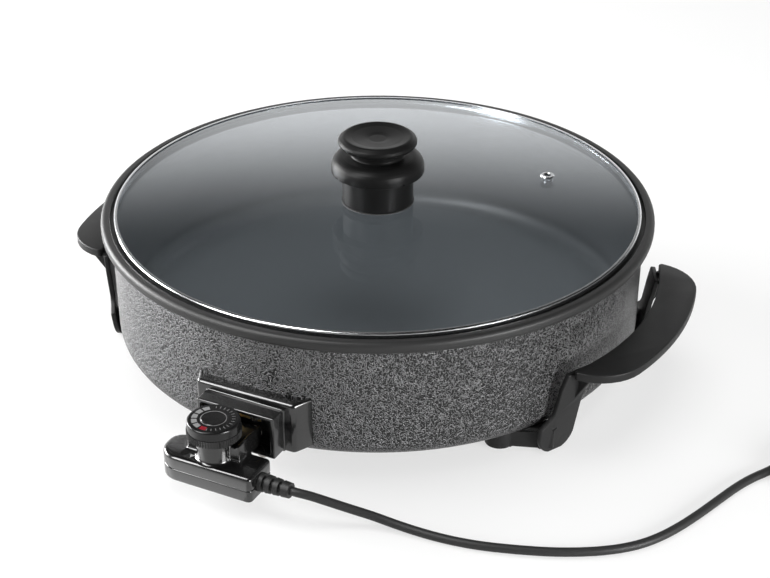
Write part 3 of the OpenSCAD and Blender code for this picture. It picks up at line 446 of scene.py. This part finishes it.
# Lid knob: a satin black moulding with a finger guard, screwed on through the glass over a
# silicone ring.
knob_finish = Finish("knob_black", specular_ior_level=0.1)
knob_finish.mottle(scale=70, detail=3, dark=0.005, light=0.008, roughness=(0.36, 0.44))
knob_grain = knob_finish.place.noise(scale=1200, detail=3)
knob_finish.link("Normal", knob_grain.bump(distance=0.00003, strength=0.4))
knob_finish.on("lid_knob")
silicone = Finish("silicone", roughness=0.7)
silicone.mottle(scale=800, detail=3, dark=0.03, light=0.05)
silicone.on("knob_gasket")


# Thermostat: two glossy black shells screwed together from below, with the neck that goes into
# the socket. A small triangle is printed on its deck and points at the dial.
shell_edge = 0.0009
deck_low = 0.0322
deck_high = 0.0332
deck_back = -0.2299
mark_middle = (-0.0126, -0.2517, 0)
mark_turn = math.radians(27.9)
mark_reach = 0.0017
mark_slope = 0.6
mark_heights = (0.032, 0.034)


def on_deck_edge(a, b):
    return min(a.z, b.z) > deck_low and max(a.z, b.z) < deck_high and max(a.y, b.y) < deck_back


case_finish = Finish("case_black", coat_weight=0.4, coat_roughness=0.06)
mark_place = case_finish.place.seen_from(mark_middle)
mark_x = mark_place.axis("X")
mark_y = mark_place.axis("Y")
mark_u = mark_x * math.cos(mark_turn) + mark_y * math.sin(mark_turn)
mark_v = mark_y * math.cos(mark_turn) - mark_x * math.sin(mark_turn)
mark = (mark_u.between(-mark_reach, mark_reach) * mark_place.axis("Z").between(*mark_heights)
        * (mark_v.math("ABSOLUTE") < (mark_reach - mark_u) * mark_slope))
case_finish.link("Base Color", mark.mix(0.006, 0.4))
polish(case_finish)
rounded("thermostat_upper", shell_edge, case_finish, "thermostat", wide_width=0.0026,
        wide=on_deck_edge)
rounded("thermostat_lower", shell_edge, gloss, "thermostat")


# Dial: a glossy black moulding with a fluted skirt, pressed on its spindle. Five grey fields, a
# red one and a scale of ticks are printed on its top, and a thin ring runs round its plain middle.
dial_axis = (0.001, -0.2445, 0)
dial_top = 0.0625
field_pitch = 25.5
field_width = 20
field_count = 6
field_radii = (0.0113, 0.0151)
ring_radii = (0.00865, 0.0091)
tick_radii = (0.0125, 0.015)
tick_pitch = field_pitch / 2
tick_width = 1.6
tick_start = 6.3 * field_pitch
dial_finish = Finish("dial_black", roughness=0.24, specular_ior_level=0.3)
dial_place = dial_finish.place.seen_from(dial_axis)
dial_r = dial_place.radius()
on_top = dial_place.axis("Z") > dial_top
turn = dial_place.axis("Y").math("ARCTAN2", dial_place.axis("X")) * (180 / math.pi)
back_turn = (field_width / 2 - 90 - turn).math("FLOORED_MODULO", 360)
in_field = back_turn.math("FLOORED_MODULO", field_pitch) < field_width
field = on_top * dial_r.between(*field_radii) * in_field
red = field * (back_turn < field_pitch)
grey = field * back_turn.between(field_pitch, field_count * field_pitch)
ring = on_top * dial_r.between(*ring_radii)
in_tick = (back_turn > tick_start) * (back_turn.math("FLOORED_MODULO", tick_pitch) < tick_width)
ticks = on_top * dial_r.between(*tick_radii) * in_tick
dial_color = (grey * 0.9).mix(dusty_black(dial_finish), 0.24)
dial_color = (ring * 0.8 + ticks * 0.6).mix(dial_color, 0.3)
dial_finish.link("Base Color", red.mix(dial_color, (0.2, 0.01, 0.018)))
dial_finish.on("dial", "dial_cap")


# Floor: a pale table top that runs back into the backdrop, and takes the pan's soft shadow. Glossy
# faces mirror its near part, and a patch before the thermostat glows to reflections only: a painted
# reflection on the glossy case.
reflection_patch_across = (-0.09, 0.026)
reflection_patch_along = (-0.316, -0.262)
reflection_patch_glow = 1.8
bpy.ops.object.select_all(action="DESELECT")
bpy.ops.mesh.primitive_plane_add(size=12, location=(0, 0, 0))
floor = bpy.context.object
floor.name = "floor"
floor_finish = Finish("floor_white", roughness=0.6)
floor_finish.mottle(scale=3, detail=2, dark=(0.86, 0.86, 0.855), light=(0.88, 0.88, 0.875))
floor_tree = floor_finish.tree
floor_path = floor_tree.nodes.new("ShaderNodeLightPath")
floor_seen = Value(floor_tree, floor_path.outputs["Is Camera Ray"])
floor_mirrored = Value(floor_tree, floor_path.outputs["Is Glossy Ray"])
floor_x = floor_finish.place.axis("X")
floor_y = floor_finish.place.axis("Y")
floor_reach = floor_y.spread(-0.14, 0.04, 0.55, 0.02)
# Painted reflection: a patch of the floor before the thermostat that glows only to glossy rays.
reflection_patch = floor_x.between(*reflection_patch_across) * floor_y.between(*reflection_patch_along)
floor_light = reflection_patch.node("Emission", {}, {"Color": reflection_patch * floor_mirrored * reflection_patch_glow + 1})
floor_shader = floor_light.node("MixShader", {}, {
    0: floor_seen * 0.6 + floor_mirrored * floor_reach,
    1: Value(floor_tree, floor_finish.shader.outputs[0]),
    2: floor_light,
})
floor_tree.links.new(floor_shader.socket, floor_tree.nodes["Material Output"].inputs["Surface"])
floor.data.materials.append(floor_finish.material)


# Backdrop: white to the camera, and to glossy surfaces a bright band that fades upwards, as a
# white studio wall does below a dark ceiling. The wall stands behind the pan only.
wall_turn = math.radians(26.9)
room_glow = 0.32
world = bpy.data.worlds.new("studio")
world.use_nodes = True
scene.world = world
sky_tree = world.node_tree
sky_tree.nodes.clear()
sky_path = sky_tree.nodes.new("ShaderNodeLightPath")
sky_camera = Value(sky_tree, sky_path.outputs["Is Camera Ray"])
sky_glossy = Value(sky_tree, sky_path.outputs["Is Glossy Ray"])
sky_through = Value(sky_tree, sky_path.outputs["Is Transmission Ray"])
sky_way = Value(sky_tree, sky_tree.nodes.new("ShaderNodeTexCoord").outputs["Generated"])
sky_back = sky_way.axis("Y") * math.cos(wall_turn) - sky_way.axis("X") * math.sin(wall_turn)
sky_band = sky_way.axis("Z").spread(0.36, 0.47, 1.6, 0.04, "SMOOTHSTEP")
sky_wall = sky_band * sky_back.spread(0.55, 0.8, 0.12, 1)
sky_white = sky_camera.math("MAXIMUM", sky_through)
sky_glow = sky_white + (1 - sky_white) * (sky_glossy * sky_wall + (1 - sky_glossy) * room_glow)
sky = sky_glow.node("Background", {}, {"Color": sky_glow})
sky.node("OutputWorld", {}, {"Surface": sky})


# Lamps: a large soft lamp overhead, a low one at each side for the wall, and a tall one in front
# that draws the bright lines on the glossy edges.
def lamp(name, place, aim, width, depth, power):
    data = bpy.data.lights.new(name, "AREA")
    data.shape = "RECTANGLE"
    data.size = width
    data.size_y = depth
    data.energy = power
    made = bpy.data.objects.new(name, data)
    made.location = place
    made.rotation_euler = (Vector(place) - Vector(aim)).to_track_quat("Z", "Y").to_euler()
    scene.collection.objects.link(made)
    return made


overhead = lamp("overhead", (0, 0.1, 1.9), aim=(0, 0, 0), width=1.6, depth=1.2, power=17)
overhead.visible_glossy = False
lamp("left_side", (-1.5, -0.2, 0.4), aim=(0, 0, 0.06), width=1.1, depth=0.5, power=66)
lamp("right_front", (1.42, -0.5, 0.35), aim=(0, 0, 0.06), width=0.5, depth=0.5, power=26)
tall_strip = lamp("tall_strip", (-0.62, -0.95, 1.15), aim=(0, -0.22, 0.05), width=0.5, depth=1.6, power=40)
tall_strip.visible_diffuse = False
